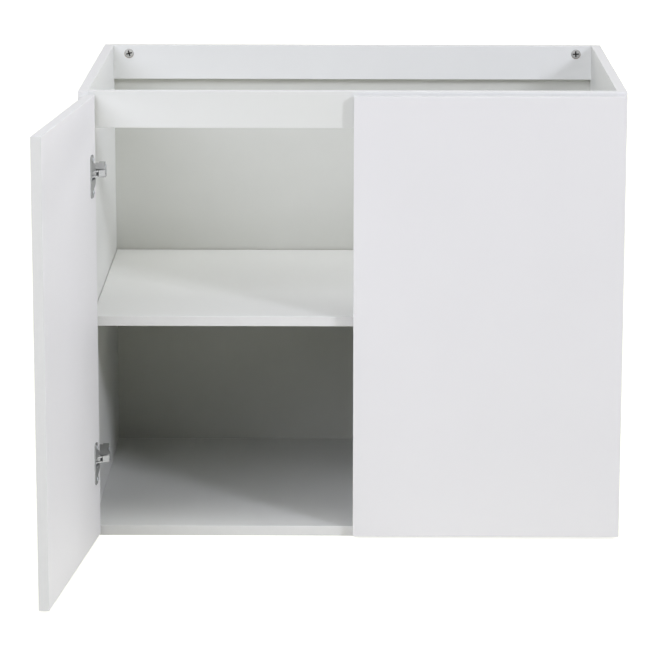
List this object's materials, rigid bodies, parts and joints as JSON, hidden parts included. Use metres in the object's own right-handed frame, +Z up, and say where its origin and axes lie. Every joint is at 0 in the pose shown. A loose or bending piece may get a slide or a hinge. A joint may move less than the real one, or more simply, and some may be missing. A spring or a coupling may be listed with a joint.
{
  "type": "kitchen base cabinet",
  "caption": "White kitchen base cabinet with plain full-overlay doors on concealed cup hinges, a loose shelf, upright top rails and an open top for a worktop.",
  "frame": {"origin": "on the floor, under the middle of the carcass footprint", "axes": "+X right seen from the front, +Y to the back, +Z up"},
  "size_m": [0.8313, 0.9393, 0.67],
  "materials": {
    "white_melamine_board": "white melamine facing, smooth satin",
    "white_hardboard": "white lacquered hardboard, satin",
    "beech_dowel": "fluted raw beech",
    "nickel_plated_steel": "nickel plate, semi-bright",
    "zinc_plated_steel": "zinc plate, semi-bright",
    "zinc_alloy": "die-cast zinc, dull",
    "spring_steel": "tempered steel, dark grey"
  },
  "bodies": {
    "carcass": {"arm_adjusting_screws": "zinc_plated_steel", "arm_fixing_screws": "zinc_plated_steel", "arm_pins": "zinc_plated_steel", "back_nails": "zinc_plated_steel", "back_panel": "white_hardboard", "bottom_panel": "white_melamine_board", "cam_bolts": "zinc_plated_steel", "cam_fittings": "zinc_alloy", "dowels": "beech_dowel", "front_rail": "white_melamine_board", "hinge_arm_left_lower": "nickel_plated_steel", "hinge_arm_left_upper": "nickel_plated_steel", "hinge_arm_right_lower": "nickel_plated_steel", "hinge_arm_right_upper": "nickel_plated_steel", "hinge_plate_left_lower": "nickel_plated_steel", "hinge_plate_left_upper": "nickel_plated_steel", "hinge_plate_right_lower": "nickel_plated_steel", "hinge_plate_right_upper": "nickel_plated_steel", "hinge_spring_left_lower": "spring_steel", "hinge_spring_left_upper": "spring_steel", "hinge_spring_right_lower": "spring_steel", "hinge_spring_right_upper": "spring_steel", "plate_screws": "zinc_plated_steel", "rear_rail": "white_melamine_board", "shelf_supports": "zinc_plated_steel", "side_panel_left": "white_melamine_board", "side_panel_right": "white_melamine_board"},
    "left_door": {"door_left": "white_melamine_board", "hinge_cup_left_lower": "nickel_plated_steel", "hinge_cup_left_upper": "nickel_plated_steel", "cup_pins_left": "zinc_plated_steel", "cup_screws_left": "zinc_plated_steel"},
    "left_side_links": {"hinge_side_links_left_lower": "nickel_plated_steel", "hinge_side_links_left_upper": "nickel_plated_steel"},
    "left_hook_links": {"hinge_hook_link_left_lower": "nickel_plated_steel", "hinge_hook_link_left_upper": "nickel_plated_steel"},
    "right_door": {"door_right": "white_melamine_board", "hinge_cup_right_lower": "nickel_plated_steel", "hinge_cup_right_upper": "nickel_plated_steel", "cup_pins_right": "zinc_plated_steel", "cup_screws_right": "zinc_plated_steel"},
    "right_side_links": {"hinge_side_links_right_lower": "nickel_plated_steel", "hinge_side_links_right_upper": "nickel_plated_steel"},
    "right_hook_links": {"hinge_hook_link_right_lower": "nickel_plated_steel", "hinge_hook_link_right_upper": "nickel_plated_steel"},
    "shelf": {"shelf": "white_melamine_board"}
  },
  "joints": [
    {"name": "left_door_on_links", "type": "hinge", "parent": "left_side_links", "child": "left_door", "pos_m": [-0.37995, -0.28794, 0.335], "axis": [0, 0, 1], "range_deg": [0, 127.26]},
    {"name": "left_side_links_on_arms", "type": "hinge", "parent": "carcass", "child": "left_side_links", "pos_m": [-0.36228, -0.27315, 0.335], "axis": [0, 0, 1], "range_deg": [-31.31, 0]},
    {"name": "left_hook_links_on_arms", "type": "hinge", "parent": "carcass", "child": "left_hook_links", "pos_m": [-0.37821, -0.27048, 0.335], "axis": [0, 0, 1], "range_deg": [-23.83, 0]},
    {"name": "right_door_on_links", "type": "hinge", "parent": "right_side_links", "child": "right_door", "pos_m": [0.38506, -0.27662, 0.335], "axis": [0, 0, 1], "range_deg": [0, 127.26]},
    {"name": "right_side_links_on_arms", "type": "hinge", "parent": "carcass", "child": "right_side_links", "pos_m": [0.36228, -0.27315, 0.335], "axis": [0, 0, 1], "range_deg": [-31.31, 0]},
    {"name": "right_hook_links_on_arms", "type": "hinge", "parent": "carcass", "child": "right_hook_links", "pos_m": [0.37821, -0.27048, 0.335], "axis": [0, 0, 1], "range_deg": [-23.83, 0]},
    {"name": "shelf_lift", "type": "slide", "parent": "carcass", "child": "shelf", "axis": [0, 0, 1], "range_m": [0, 0.15]}
  ],
  "couplings": [
    {"joint": "left_side_links_on_arms", "follows": "left_door_on_links", "ratio": -0.24566},
    {"joint": "left_hook_links_on_arms", "follows": "left_door_on_links", "ratio": -0.18685},
    {"joint": "right_side_links_on_arms", "follows": "right_door_on_links", "ratio": -0.24566},
    {"joint": "right_hook_links_on_arms", "follows": "right_door_on_links", "ratio": -0.18685}
  ]
}
